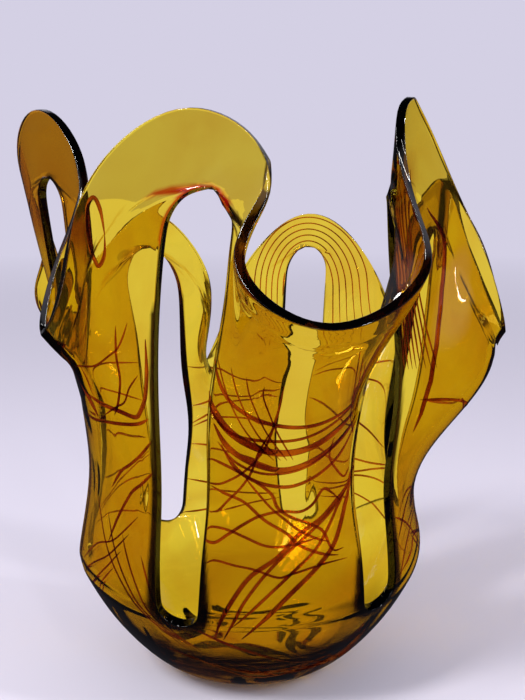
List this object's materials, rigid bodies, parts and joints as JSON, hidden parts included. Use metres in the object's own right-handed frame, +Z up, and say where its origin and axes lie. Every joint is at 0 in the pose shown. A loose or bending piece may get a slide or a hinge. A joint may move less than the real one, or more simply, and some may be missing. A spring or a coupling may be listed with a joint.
{
  "type": "vase",
  "caption": "Free-form blown glass vase in amber with dark trailed threads, its wall slit and pulled into standing loops and flared lips.",
  "frame": {"origin": "the middle of the flat foot, on the bowl's axis", "axes": "+Z up the bowl's axis; -Y is the side that the picture shows, +X is to its right"},
  "size_m": [0.2478, 0.2381, 0.291],
  "materials": {
    "amber_glass": "glossy"
  },
  "bodies": {
    "root": {"vase_body": "amber_glass"}
  },
  "joints": []
}
